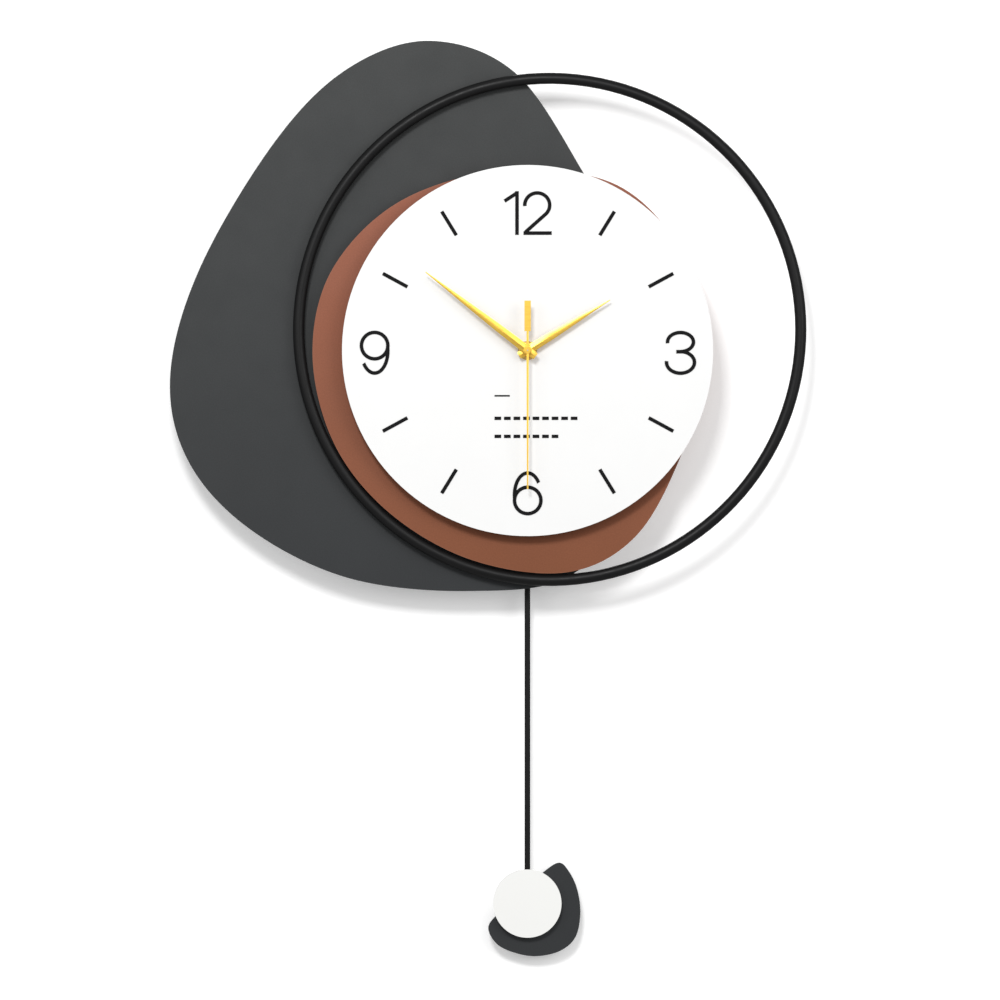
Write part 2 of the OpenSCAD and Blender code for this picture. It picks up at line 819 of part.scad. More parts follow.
// A bent leaf that presses on the battery's flat end
module negative_contact() {
  color(steel) at(arbor) translate([0, 0, battery_up - 4]) linear_extrude(8)
    polygon([[-26.3, -7], [-25.9, -7], [-25.9, -14.5], [-24.95, -10.5], [-24.55, -10.5], [-24.55, -11.6],
      [-25.9, -17.2], [-26.3, -17.2]]);
}

module pendulum_coil() {
  color("#b5652c") at(arbor) at([0, -coil_drop]) difference() {
    pin(tongue_front - pendulum_coil_t, tongue_front - 0.3, pendulum_coil_d);
    pin(tongue_front - pendulum_coil_t - eps, tongue_front, 5);
  }
}

module pendulum_pin() {
  color(steel) at(arbor) at([0, -pivot_drop]) pin(inside_back + 0.2, pin_front, pin_d);
}

// ---------- Train ----------

module rotor_arbor() {
  color(steel) at(arbor) at(rotor_axis) pin(arbor_back, bridge_front, rotor_arbor_d);
}

module rotor_magnet() {
  color("#3a3b3e") at(arbor) at(rotor_axis)
    washer(magnet_layer[0], magnet_layer[1], 5, rotor_arbor_d + press_gap);
}

module rotor_pinion() {
  color(white_plastic) at(arbor) at(rotor_axis)
    gear(rotor_pinion_layer, rotor_teeth, rotor_mod, pinion_tooth, rotor_turn + 180, rotor_arbor_d);
}

module intermediate_arbor() {
  color(steel) at(arbor) at(inter_axis) pin(arbor_back, bridge_front, arbor_d);
}

module intermediate_wheel() {
  color(white_plastic) at(arbor) at(inter_axis) {
    gear(inter_pinion_layer, inter_pinion_teeth, seconds_mod, pinion_tooth, inter_turn + 180, arbor_d);
    flat_hub(inter_pinion_layer[1] - joint_lap, inter_wheel_layer[0] + joint_lap, 1.8, arbor_d);
    gear(inter_wheel_layer, inter_teeth, rotor_mod, wheel_tooth, rotor_turn + 180 / inter_teeth, arbor_d);
  }
}

module seconds_arbor() {
  color(steel) at(arbor) pin(arbor_back, second_hand_back + 1.8, arbor_d);
}

module seconds_wheel() {
  color("#d8b04a") at(arbor) {
    gear(seconds_wheel_layer, seconds_teeth, seconds_mod, wheel_tooth, inter_turn + 180 / seconds_teeth,
      arbor_d);
    flat_hub(seconds_wheel_layer[1] - joint_lap, seconds_pinion_layer[0] + joint_lap, seconds_hub_d, arbor_d);
    gear(seconds_pinion_layer, seconds_pinion_teeth, third_mod, pinion_tooth, third_turn, arbor_d);
  }
}

module third_arbor() {
  color(steel) at(arbor) at(third_axis) pin(arbor_back, third_arbor_front, arbor_d);
}

module third_wheel() {
  color("#4c8a5a") at(arbor) at(third_axis) {
    gear(third_wheel_layer, third_teeth, third_mod, wheel_tooth, third_turn + 180 + 180 / third_teeth,
      arbor_d);
    gear(third_pinion_layer, third_pinion_teeth, centre_mod, pinion_tooth, third_turn + 180, arbor_d);
  }
}

module minute_tube() {
  color(brass) at(arbor) washer(16.5, minute_hand_back + 1.8, minute_tube_d, minute_tube_bore_d);
}

module centre_wheel() {
  color("#c65a4a") at(arbor) {
    flat_hub(centre_wheel_layer[0] - 0.5, centre_wheel_layer[0] + joint_lap, 5, minute_tube_d);
    gear(centre_wheel_layer, centre_teeth, centre_mod, wheel_tooth, third_turn + 180 / centre_teeth,
      minute_tube_d);
    gear(cannon_layer, cannon_teeth, minute_mod, pinion_tooth, minute_turn, minute_tube_d);
  }
}

module setting_stem() {
  color(white_plastic) at(arbor) at(minute_axis) {
    difference() {
      pin(knob_layer[0], knob_layer[1], knob_d);
      for (k = [0 : 11])
        at(polar(knob_d / 2 + 0.4, 30 * k)) pin(knob_layer[0] - eps, knob_layer[1] + eps, 1.6);
    }
    pin(knob_layer[1] - joint_lap, stem_front, stem_d);
  }
}

module minute_wheel() {
  color("#5a78b5") at(arbor) at(minute_axis) {
    gear(minute_wheel_layer, minute_teeth, minute_mod, wheel_tooth, minute_turn + 180 + 180 / minute_teeth,
      stem_d);
    gear(minute_pinion_layer, minute_pinion_teeth, hour_mod, pinion_tooth, minute_turn + 180, stem_d);
  }
}

module hour_tube() {
  color(brass) at(arbor) washer(21.1, hour_hand_back + 1.6, hour_tube_d, hour_tube_bore_d);
}

module hour_wheel() {
  color("#e9d9a8") at(arbor) {
    gear(hour_wheel_layer, hour_teeth, hour_mod, wheel_tooth, minute_turn + 180 / hour_teeth, hour_tube_d);
  }
}

// ---------- Hands ----------

// A tapered blade with a raised middle ridge and a flat back, pointing up from the shaft.
// Each station is [up, half width, ridge height]
module blade(back, stations, edge_t) {
  n = len(stations);
  corners = [for (s = stations) each [[-s[1], 0, s[0]], [s[1], 0, s[0]], [s[1], -edge_t, s[0]],
    [0, -s[2], s[0]], [-s[1], -edge_t, s[0]]]];
  faces = concat(
    [[4, 3, 2, 1, 0]],
    [for (i = [0 : n - 2], k = [0 : 4]) let (a = 5 * i, b = 5 * i + 5, m = (k + 1) % 5)
      [a + k, a + m, b + m, b + k]],
    [[for (k = [0 : 4]) 5 * (n - 1) + k]]);
  translate([0, -back, 0]) polyhedron(points = corners, faces = faces, convexity = 4);
}

// A hand turned clockwise from 12
module turned(angle) {
  rotate([0, angle, 0]) children();
}

module pressed_hand(back, length, angle, tube_d, hub_d) {
  half = hand_w / 2;
  at(arbor) turned(angle) difference() {
    union() {
      blade(back, [[-8, 2.6, 0.9], [0, half, 1.3], [length * 0.3, half * 0.86, 1.2],
        [length * 0.65, half * 0.5, 0.95], [length, 0.35, 0.6]], 0.5);
      pin(back, back + 1.4, hub_d);
    }
    pin(back - eps, back + 2, tube_d + press_gap);
  }
}

module hour_hand() {
  color(gold) pressed_hand(hour_hand_back, hour_len, hour_angle, hour_tube_d, 7.2);
}

module minute_hand() {
  color(gold) pressed_hand(minute_hand_back, minute_len, minute_angle, minute_tube_d, 6.4);
}

module second_hand() {
  back = second_hand_back;
  color(gold) at(arbor) turned(second_angle) difference() {
    union() {
      blade(back + 0.2, [[-16, 0.8, 0.6], [0, 0.9, 0.6], [second_len, 0.6, 0.6]], 0.4);
      slab(back + 0.2, back + 0.8) translate([-2.5, -39]) square([5, 24]);
      pin(back, back + 1.6, 5);
    }
    pin(back - eps, back + 2, arbor_d + press_gap);
  }
}

// ---------- Pendulum ----------

module pendulum_hanger() {
  color(white_plastic) at(arbor) difference() {
    union() {
      at([0, -pivot_drop]) pin(pivot_boss[0], pivot_boss[1], 6.4);
      slab(bar_layer[0], bar_layer[1])
        translate([-3, -hook_drop - 3]) square([6, hook_drop - pivot_drop + 3]);
      at([0, -coil_drop]) pin(bar_layer[0], bar_layer[1], 11);
      at([0, -hook_drop]) {
        pin(bar_layer[1] - joint_lap, hook_front, 2 * hook_peg_r);
        slab(hook_front - 1, hook_front)
          translate([-hook_peg_r, 0]) square([2 * hook_peg_r, hook_peg_r + 1.8]);
      }
    }
    at([0, -pivot_drop]) pin(pivot_boss[0] - eps, pivot_boss[1] + eps, pendulum_bore_d);
  }
}

module pendulum_magnet() {
  color("#8d9094") at(arbor) at([0, -coil_drop]) pin(bar_layer[0] - 1.9, bar_layer[0], 8);
}

module pendulum_rod() {
  eye_drop = hook_drop + eye_r - hook_peg_r;
  color(black_paint) at(arbor) {
    difference() {
      union() {
        at([0, -eye_drop]) pin(rod_depth - eye_t / 2, rod_depth + eye_t / 2, 2 * rod_d + 0.4);
        slab(rod_depth - eye_t / 2, rod_depth + eye_t / 2)
          translate([-rod_d / 2, -eye_drop - 9]) square([rod_d, 8]);
        translate([0, -rod_depth, -bob_drop + bob_r - rod_in_bob])
          cylinder(h = bob_drop - bob_r + rod_in_bob - eye_drop - 7, d = rod_d);
      }
      at([0, -eye_drop]) pin(rod_depth - 2, rod_depth + 2, 2 * eye_r);
    }
  }
}

module bob_disc() {
  color(white_paint) at(arbor) difference() {
    at([0, -bob_drop]) pin(rod_depth - bob_t / 2, rod_depth + bob_t / 2, 2 * bob_r);
    translate([0, -rod_depth, -bob_drop + bob_r - rod_in_bob - 0.5])
      cylinder(h = rod_in_bob + 2, d = rod_d + 0.1);
  }
}

module bob_backing() {
  color(charcoal) at(arbor) at([0, -bob_drop])
    slab(rod_depth - bob_t / 2 - bob_back_t, rod_depth - bob_t / 2) polygon(closed_curve(bob_points));
}

back_panel();
accent_panel();
dial_plate();
dial_numerals();
hour_marks();
ring();
ring_spacers();
ring_screws();
accent_spacers();
accent_screws();
dial_spacers();
dial_screws();
hanger_block();
keyhole_plate();
hanger_screws();
wall_spacers();
wall_spacer_screws();
wall_pads();
rear_case();
front_case();
case_screws();
shaft_bush();
rubber_washer();
brass_washer();
bush_nut();
train_bridge();
bridge_screws();
circuit_board();
quartz_crystal();
motor_stator();
coil_bobbin();
motor_coil();
battery();
positive_contact();
negative_contact();
pendulum_coil();
pendulum_pin();
rotor_arbor();
rotor_magnet();
rotor_pinion();
intermediate_arbor();
intermediate_wheel();
seconds_arbor();
seconds_wheel();
second_hand();
third_arbor();
third_wheel();
minute_tube();
centre_wheel();
minute_hand();
setting_stem();
minute_wheel();
hour_tube();
hour_wheel();
hour_hand();
pendulum_hanger();
pendulum_magnet();
pendulum_rod();
bob_disc();
bob_backing();
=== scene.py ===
"""Looks of the pendulum wall clock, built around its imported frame.

Metres, +Z up, the front of the clock faces -Y and the wall plane is y = 0.
"""

import json
import math

import bpy
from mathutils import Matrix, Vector


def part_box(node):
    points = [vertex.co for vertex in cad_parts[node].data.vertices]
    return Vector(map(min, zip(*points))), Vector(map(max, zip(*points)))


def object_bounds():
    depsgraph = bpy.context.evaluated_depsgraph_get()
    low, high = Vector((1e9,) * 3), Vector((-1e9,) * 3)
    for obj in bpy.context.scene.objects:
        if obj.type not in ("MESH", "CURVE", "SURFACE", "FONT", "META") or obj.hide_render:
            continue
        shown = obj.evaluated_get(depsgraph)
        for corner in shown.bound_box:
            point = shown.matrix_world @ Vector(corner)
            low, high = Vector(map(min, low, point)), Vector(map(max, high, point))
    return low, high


MM = 0.001

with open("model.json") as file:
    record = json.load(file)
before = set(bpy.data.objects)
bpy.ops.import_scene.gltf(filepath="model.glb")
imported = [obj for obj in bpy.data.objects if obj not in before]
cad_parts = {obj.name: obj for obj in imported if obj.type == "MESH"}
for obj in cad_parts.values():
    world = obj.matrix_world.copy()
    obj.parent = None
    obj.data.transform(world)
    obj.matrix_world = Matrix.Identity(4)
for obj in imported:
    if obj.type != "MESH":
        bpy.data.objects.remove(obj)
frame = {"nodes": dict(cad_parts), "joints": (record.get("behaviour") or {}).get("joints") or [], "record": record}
cad_low, cad_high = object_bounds()
nodes = frame["nodes"]
joints = {joint["name"]: joint for joint in frame["joints"]}
slot_of = {part["node"]: part["material_slot"] for part in frame["record"]["subparts"]}


def centre_of(node):
    """The middle of a node's box at rest."""
    low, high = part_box(node)
    return (low + high) / 2


# ---------- Material building ----------

# How many waves the wave texture makes in one unit of length at a scale of 1
WAVES_PER_UNIT = 3.2


class Look:
    """A node material around one Principled shader, with the few steps that the looks share."""

    def __init__(self, name, **settings):
        self.material = bpy.data.materials.new(name)
        self.material.use_nodes = True
        self.tree = self.material.node_tree
        self.shader = self.tree.nodes["Principled BSDF"]
        self.place = self.node("ShaderNodeTexCoord").outputs["Object"]
        self.relief = None
        for socket, value in settings.items():
            self.shader.inputs[socket.replace("_", " ")].default_value = value

    def node(self, kind, inputs=None, **settings):
        """A new node. An input given as another node's output is linked, and any other value is set."""
        made = self.tree.nodes.new(kind)
        for key, value in settings.items():
            setattr(made, key, value)
        for key, value in (inputs or {}).items():
            if isinstance(value, bpy.types.NodeSocket):
                self.tree.links.new(value, made.inputs[key])
            else:
                made.inputs[key].default_value = value
        return made

    def put(self, socket, output):
        """Links an output to one of the shader's own sockets."""
        self.tree.links.new(output, self.shader.inputs[socket])

    def moved(self, turn=(0, 0, 0), stretch=(1, 1, 1), start=(0, 0, 0)):
        """Object coordinates taken from a point, turned and stretched."""
        shifted = self.node("ShaderNodeVectorMath", {0: self.place, 1: tuple(-x for x in start)})
        return self.node(
            "ShaderNodeMapping",
            {"Vector": shifted.outputs[0], "Rotation": turn, "Scale": stretch},
        ).outputs[0]

    def along(self, axis):
        """Position along X, Y or Z, in metres."""
        return self.node("ShaderNodeSeparateXYZ", {"Vector": self.place}).outputs[axis]

    def noise(self, size, detail=2.0, roughness=0.5, place=None):
        """Noise from 0 to 1 whose features are about size metres across."""
        return self.node(
            "ShaderNodeTexNoise",
            {"Vector": place or self.place, "Scale": 1 / size, "Detail": detail, "Roughness": roughness},
        ).outputs["Fac"]

    def cells(self, size, feature="F1"):
        """Distance within random cells about size metres across."""
        return self.node(
            "ShaderNodeTexVoronoi", {"Vector": self.place, "Scale": 1 / size}, feature=feature
        ).outputs["Distance"]

    def bands(self, size, place, kind="BANDS", direction="X", distortion=0.0):
        """Soft stripes across a direction, or rings about it, that repeat every size metres."""
        settings = {"wave_type": kind}
        settings["bands_direction" if kind == "BANDS" else "rings_direction"] = direction
        return self.node(
            "ShaderNodeTexWave",
            {"Vector": place, "Scale": 1 / size / WAVES_PER_UNIT, "Distortion": distortion, "Detail": 1.0},
            **settings,
        ).outputs["Fac"]

    def spread(self, value, low, high, start=0.0, end=1.0):
        """value from start to end becomes low to high, and stays within them."""
        return self.node(
            "ShaderNodeMapRange",
            {"Value": value, "From Min": start, "From Max": end, "To Min": low, "To Max": high},
        ).outputs[0]

    def mixed(self, factor, first, second):
        """The first colour where factor is 0, and the second where it is 1."""
        # The Mix node takes the factor at socket 0 and colours at 6 and 7, and gives the colour at 2
        inputs = {0: factor}
        for index, colour in ((6, first), (7, second)):
            inputs[index] = colour if isinstance(colour, bpy.types.NodeSocket) else (*colour, 1.0)
        return self.node("ShaderNodeMix", inputs, data_type="RGBA").outputs[2]

    def varied(self, colour, factor, share):
        """The colour, darker by share where factor is 0 and lighter by share where it is 1."""
        scale = self.spread(factor, 1 - share, 1 + share)
        return self.node("ShaderNodeVectorMath", {0: colour, "Scale": scale}, operation="SCALE").outputs[0]

    def combined(self, operation, a, b):
        """Two values through one step of arithmetic, such as MULTIPLY."""
        return self.node("ShaderNodeMath", {0: a, 1: b}, operation=operation).outputs[0]

    def edges(self, radius):
        """1 along the part's edges and 0 away from them, by how far a rounded normal leaves the true one."""
        rounded = self.node("ShaderNodeBevel", {"Radius": radius}, samples=4).outputs[0]
        normal = self.node("ShaderNodeNewGeometry").outputs["Normal"]
        facing = self.node("ShaderNodeVectorMath", {0: rounded, 1: normal}, operation="DOT_PRODUCT")
        at_edge, away = 0.86, 0.995
        return self.spread(facing.outputs["Value"], 1.0, 0.0, at_edge, away)

    def bump(self, height, depth):
        """Adds relief that is depth metres deep."""
        inputs = {"Height": height, "Distance": depth, "Strength": 1.0}
        if self.relief is not None:
            inputs["Normal"] = self.relief
        self.relief = self.node("ShaderNodeBump", inputs).outputs[0]
        self.put("Normal", self.relief)


# ---------- Looks, one for each material slot of the record ----------


def lacquered_board(name, node, upper, lower, worn, roughness):
    """Sprayed fibreboard, painted shade darker down a node's height, fine orange peel and slightly rubbed edges.
    """
    look = Look(name, Specular_IOR_Level=0.22)
    low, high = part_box(node)
    # Painted shade: lower at the bottom of the node's box and upper at its top, so the board darkens downwards as
    # if lit from above
    painted_shade_fade = look.mixed(look.spread(look.along("Z"), 0.0, 1.0, low.z, high.z), lower, upper)
    cloudy = look.varied(painted_shade_fade, look.spread(look.noise(0.09, 3.0), 0.0, 1.0, 0.3, 0.7), 0.035)
    fine = look.varied(cloudy, look.spread(look.noise(0.0011, 2.0, 0.6), 0.0, 1.0, 0.3, 0.7), 0.07)
    patches = look.spread(look.noise(0.012, 4.0, 0.65), 0.25, 0.9, 0.4, 0.6)
    rubbed = look.combined("MULTIPLY", look.edges(0.9 * MM), patches)
    look.put("Base Color", look.mixed(rubbed, fine, worn))
    smeared = look.noise(0.03, 4.0, 0.6)
    look.put("Roughness", look.spread(smeared, roughness - 0.05, roughness + 0.06, 0.3, 0.7))
    look.bump(look.noise(0.035, 2.0), 0.05 * MM)
    look.bump(look.noise(0.0013, 3.0, 0.55), 0.02 * MM)
    return look.material


def charcoal_board():
    # Painted shade: upper is the board's lit colour, lower the same paint darkened for its shaded lower part
    upper = (0.040, 0.042, 0.042)
    lower = (0.027, 0.029, 0.031)
    return lacquered_board("charcoal_board", "back_panel", upper, lower, (0.075, 0.077, 0.08), 0.55)


def terracotta_board():
    # Painted shade: lower is the same paint as upper, darkened where the dial's shade falls on the board's lower
    # part
    upper = (0.275, 0.096, 0.057)
    lower = (0.196, 0.065, 0.028)
    return lacquered_board("terracotta_board", "accent_panel", upper, lower, (0.34, 0.15, 0.09), 0.55)


def satin_white(name, colour, roughness):
    """A smooth satin white surface with the slightest unevenness."""
    look = Look(name, Coat_Weight=0.12, Coat_Roughness=0.22)
    look.put("Base Color", look.varied(colour, look.noise(0.05, 3.0), 0.012))
    smeared = look.noise(0.012, 4.0, 0.6)
    look.put("Roughness", look.spread(smeared, roughness - 0.04, roughness + 0.05, 0.3, 0.7))
    look.bump(look.noise(0.045, 2.0), 0.03 * MM)
    look.bump(look.noise(0.0016, 2.0), 0.006 * MM)
    return look.material


def white_dial():
    return satin_white("white_dial", (0.80, 0.80, 0.795), 0.42)


def white_lacquer():
    return satin_white("white_lacquer", (0.86, 0.86, 0.84), 0.32)


def black_print():
    """Matt printing ink, a little uneven where it is thinner."""
    look = Look("black_print", Specular_IOR_Level=0.1)
    look.put("Base Color", look.varied((0.0045, 0.0045, 0.005), look.noise(0.004, 3.0), 0.35))
    look.put("Roughness", look.spread(look.noise(0.0015, 3.0), 0.5, 0.7, 0.3, 0.7))
    look.bump(look.noise(0.0006, 2.0), 0.01 * MM)
    return look.material


def black_metal():
    """Semi-gloss black powder coat over steel."""
    look = Look("black_metal", Specular_IOR_Level=0.2)
    look.put("Base Color", look.varied((0.005, 0.005, 0.0053), look.noise(0.02, 3.0), 0.25))
    look.put("Roughness", look.spread(look.noise(0.006, 4.0, 0.6), 0.38, 0.5, 0.3, 0.7))
    look.bump(look.noise(0.0009, 2.0), 0.012 * MM)
    return look.material


def gold_metal(node):
    """Gold anodised aluminium, brushed along the hand."""
    look = Look(f"gold_metal_{node}", Metallic=1.0, Anisotropic=0.3)
    middle = centre_of(node)
    shaft = Vector(joints["second_turn"]["pos_m"])
    turn = math.atan2(middle.z - shaft.z, middle.x - shaft.x)
    along = look.moved(turn=(0, turn, 0), stretch=(0.03, 1, 1), start=tuple(shaft))
    grain = look.noise(0.00035, 3.0, 0.6, along)
    look.put("Base Color", look.varied((0.94, 0.60, 0.10), look.spread(grain, 0.0, 1.0, 0.3, 0.7), 0.06))
    look.put("Roughness", look.spread(grain, 0.32, 0.44, 0.3, 0.7))
    look.bump(grain, 0.004 * MM)
    return look.material


def steel():
    """Zinc-plated steel with a faintly clouded plating."""
    look = Look("steel", Metallic=1.0)
    cloud = look.spread(look.noise(0.004, 3.0, 0.6), 0.0, 1.0, 0.35, 0.65)
    look.put("Base Color", look.mixed(cloud, (0.50, 0.51, 0.53), (0.63, 0.62, 0.59)))
    look.put("Roughness", look.spread(look.noise(0.0009, 4.0, 0.65), 0.26, 0.46, 0.3, 0.7))
    look.bump(look.noise(0.0004, 2.0), 0.006 * MM)
    return look.material


def brass():
    """Turned brass: fine rings about the hand shaft."""
    look = Look("brass", Metallic=1.0)
    shaft = tuple(joints["second_turn"]["pos_m"])
    rings = look.bands(0.0004, look.moved(start=shaft), "RINGS", "Y", 0.3)
    look.put("Base Color", look.varied((0.78, 0.56, 0.21), look.noise(0.003, 3.0), 0.1))
    look.put("Roughness", look.spread(rings, 0.2, 0.34))
    look.bump(rings, 0.008 * MM)
    return look.material


def moulded(name, colour, roughness, scatter=0.0):
    """Moulded plastic: a spark-eroded texture and slight flow marks."""
    look = Look(name, Subsurface_Weight=scatter, Subsurface_Scale=0.8 * MM)
    look.put("Base Color", look.varied(colour, look.noise(0.02, 4.0, 0.6), 0.07))
    smeared = look.noise(0.005, 4.0, 0.6)
    look.put("Roughness", look.spread(smeared, roughness - 0.07, roughness + 0.07, 0.3, 0.7))
    look.bump(look.noise(0.00045, 2.0, 0.6), 0.018 * MM)
    look.bump(look.noise(0.016, 2.0), 0.04 * MM)
    return look.material


def black_plastic():
    return moulded("black_plastic", (0.020, 0.020, 0.022), 0.5)


def white_plastic():
    return moulded("white_plastic", (0.78, 0.77, 0.73), 0.38, 0.08)


def amber_plastic():
    return moulded("amber_plastic", (0.60, 0.38, 0.11), 0.34, 0.1)


def rubber():
    look = Look("rubber")
    dust = look.spread(look.noise(0.002, 5.0, 0.7), 0.0, 0.3, 0.45, 0.75)
    look.put("Base Color", look.mixed(dust, (0.018, 0.018, 0.019), (0.07, 0.068, 0.064)))
    look.put("Roughness", look.spread(look.noise(0.001, 3.0), 0.75, 0.95, 0.3, 0.7))
    look.bump(look.noise(0.0007, 3.0), 0.04 * MM)
    return look.material


def felt():
    """Pressed felt: matted fibres in every direction."""
    look = Look("felt", Sheen_Weight=0.35, Sheen_Roughness=0.5, Roughness=0.95)
    fibres = [
        look.noise(0.0005, 4.0, 0.7, look.moved((0, math.radians(turn), 0), (0.12, 1, 1)))
        for turn in (0, 60, 120)
    ]
    matted = look.combined("MAXIMUM", look.combined("MAXIMUM", fibres[0], fibres[1]), fibres[2])
    upper_fibres = look.spread(matted, 0.0, 1.0, 0.45, 0.75)
    look.put("Base Color", look.mixed(upper_fibres, (0.06, 0.06, 0.063), (0.17, 0.17, 0.175)))
    look.bump(matted, 0.25 * MM)
    return look.material


def copper(node):
    """Enamelled wire wound about the coil's own axis."""
    look = Look(f"copper_{node}", Metallic=1.0, Coat_Weight=0.6, Coat_Roughness=0.12)
    wire = 0.0002
    low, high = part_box(node)
    around_middle = look.moved(start=tuple(centre_of(node)))
    if high.x - low.x > high.z - low.z:
        wires = look.bands(wire, around_middle)
    else:
        wires = look.bands(wire, around_middle, "RINGS", "Y")
    # Painted shade and highlight: the grooves between wires, lowest in the bump, are darker and the wire crests
    # lighter
    look.put("Base Color", look.mixed(wires, (0.28, 0.075, 0.03), (0.72, 0.27, 0.11)))
    look.put("Roughness", look.spread(look.noise(0.002, 3.0), 0.22, 0.38, 0.3, 0.7))
    look.bump(wires, 0.06 * MM)
    return look.material


def circuit_green():
    """Solder mask over copper tracks, with tinned pads."""
    look = Look("circuit_green", Coat_Weight=0.5, Coat_Roughness=0.15)
    tracks = look.spread(look.cells(0.0022, feature="DISTANCE_TO_EDGE"), 1.0, 0.0, 0.05, 0.09)
    pads = look.spread(look.cells(0.0031), 1.0, 0.0, 0.16, 0.2)
    mask = look.mixed(tracks, (0.02, 0.12, 0.04), (0.05, 0.24, 0.08))
    look.put("Base Color", look.mixed(pads, mask, (0.6, 0.6, 0.58)))
    look.put("Metallic", look.spread(pads, 0.0, 0.9))
    look.put("Roughness", look.spread(look.noise(0.001, 3.0), 0.28, 0.42, 0.3, 0.7))
    look.bump(tracks, 0.03 * MM)
    return look.material


def battery_sleeve():
    """A plain printed sleeve with a pale band, and bare steel at the ends."""
    look = Look("battery_sleeve", Coat_Weight=0.4, Coat_Roughness=0.12)
    low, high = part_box("battery")
    across = look.along("X")
    length = high.x - low.x

    def beyond(share, soft=0.0004):
        """1 to the right of a share of the battery's length, 0 to its left."""
        edge = low.x + share * length
        return look.spread(across, 0.0, 1.0, edge - soft / 2, edge + soft / 2)

    sleeve_starts, band_starts, sleeve_ends = beyond(0.025), beyond(0.66), beyond(0.955)
    bare_steel = (0.58, 0.58, 0.57)
    sleeve = look.varied((0.035, 0.13, 0.30), look.noise(0.015, 2.0), 0.05)
    banded = look.mixed(band_starts, sleeve, (0.62, 0.60, 0.55))
    right_of_start = look.mixed(sleeve_ends, banded, bare_steel)
    look.put("Base Color", look.mixed(sleeve_starts, bare_steel, right_of_start))
    printed = look.combined("SUBTRACT", sleeve_starts, sleeve_ends)
    look.put("Metallic", look.spread(printed, 1.0, 0.35))
    look.put("Roughness", look.spread(look.noise(0.008, 2.0), 0.26, 0.34, 0.3, 0.7))
    return look.material


def magnet():
    look = Look("magnet", Metallic=0.85)
    look.put("Base Color", look.varied((0.20, 0.20, 0.21), look.noise(0.0012, 4.0, 0.7), 0.25))
    look.put("Roughness", look.spread(look.noise(0.0008, 4.0), 0.4, 0.6, 0.3, 0.7))
    look.bump(look.noise(0.0003, 3.0), 0.015 * MM)
    return look.material


def block_wood():
    """Bare pine with its grain upright: broad growth bands, fine fibres and open pores."""
    look = Look("block_wood")
    log_middle = (0.06, 0.03, 0.0)
    grain = look.moved(stretch=(1, 1, 0.07), start=log_middle)
    rings = look.bands(0.0045, grain, "RINGS", "Z", 2.2)
    fibres = look.noise(0.0007, 4.0, 0.65, look.moved(stretch=(1, 1, 0.05)))
    growth = look.mixed(look.spread(rings, 0.0, 1.0, 0.35, 1.0), (0.56, 0.38, 0.21), (0.43, 0.26, 0.12))
    look.put("Base Color", look.mixed(look.spread(fibres, 0.0, 0.5, 0.45, 0.8), growth, (0.32, 0.18, 0.08)))
    look.put("Roughness", look.spread(fibres, 0.55, 0.8, 0.3, 0.7))
    look.bump(fibres, 0.06 * MM)
    return look.material


# Looks that all nodes of a slot share, and looks that are made for one node each
SHARED_LOOKS = (
    charcoal_board, terracotta_board, white_dial, white_lacquer, black_print, black_metal, steel, brass,
    black_plastic, white_plastic, amber_plastic, rubber, felt, circuit_green, battery_sleeve, magnet,
    block_wood,
)
OWN_LOOKS = {"gold_metal": gold_metal, "copper": copper}


def dress_nodes():
    """Gives every CAD node the look of its material slot."""
    looks = {make.__name__: make() for make in SHARED_LOOKS}
    for name, slot in slot_of.items():
        own = OWN_LOOKS.get(slot)
        nodes[name].material_slots[0].material = own(name) if own else looks[slot]


# ---------- Rounded edges ----------

# An edge sharper than this many degrees is rounded, in a few steps
SHARP_ANGLE = 35
ROUND_STEPS = 3
# Points nearer than this are joined first, so that the rounding runs on across faces
JOINED_WITHIN = 0.001 * MM
# Width of the rounded edge of each node, in millimetres
EDGE_MM = {
    "back_panel": 0.8, "accent_panel": 0.6, "dial_plate": 0.5, "bob_disc": 0.7, "bob_backing": 0.6,
    "hanger_block": 0.8, "rear_case": 0.35, "front_case": 0.35, "keyhole_plate": 0.2, "wall_spacers": 0.4,
    "battery": 0.4, "bush_nut": 0.3, "wall_pads": 0.3, "pendulum_hanger": 0.25, "setting_stem": 0.2,
    "dial_numerals": 0.1, "hour_marks": 0.1, "hour_hand": 0.06, "minute_hand": 0.06, "second_hand": 0.06,
}


def smooth_shading():
    """Nodes for a modifier that shades smoothly and drops stored normals, which would hide the rounding."""
    group = bpy.data.node_groups.new("smooth_shading", "GeometryNodeTree")
    for way in ("INPUT", "OUTPUT"):
        group.interface.new_socket("Geometry", in_out=way, socket_type="NodeSocketGeometry")
    kinds = ("NodeGroupInput", "GeometryNodeRemoveAttribute", "GeometryNodeSetShadeSmooth", "NodeGroupOutput")
    steps = [group.nodes.new(kind) for kind in kinds]
    steps[1].inputs["Name"].default_value = "custom_normal"
    for before, after in zip(steps, steps[1:]):
        group.links.new(before.outputs[0], after.inputs[0])
    return group


def round_edges(name, width_mm, shading):
    """Rounds a node's sharp edges with modifiers, which leave its own mesh as it is."""
    piece = nodes[name]
    piece.modifiers.new("smooth", "NODES").node_group = shading
    weld = piece.modifiers.new("weld", "WELD")
    weld.merge_threshold = JOINED_WITHIN
    bevel = piece.modifiers.new("edges", "BEVEL")
    bevel.width = width_mm * MM
    bevel.segments = ROUND_STEPS
    bevel.limit_method = "ANGLE"
    bevel.angle_limit = math.radians(SHARP_ANGLE)
    bevel.harden_normals = True


# ---------- Wall, floor, lights and camera ----------

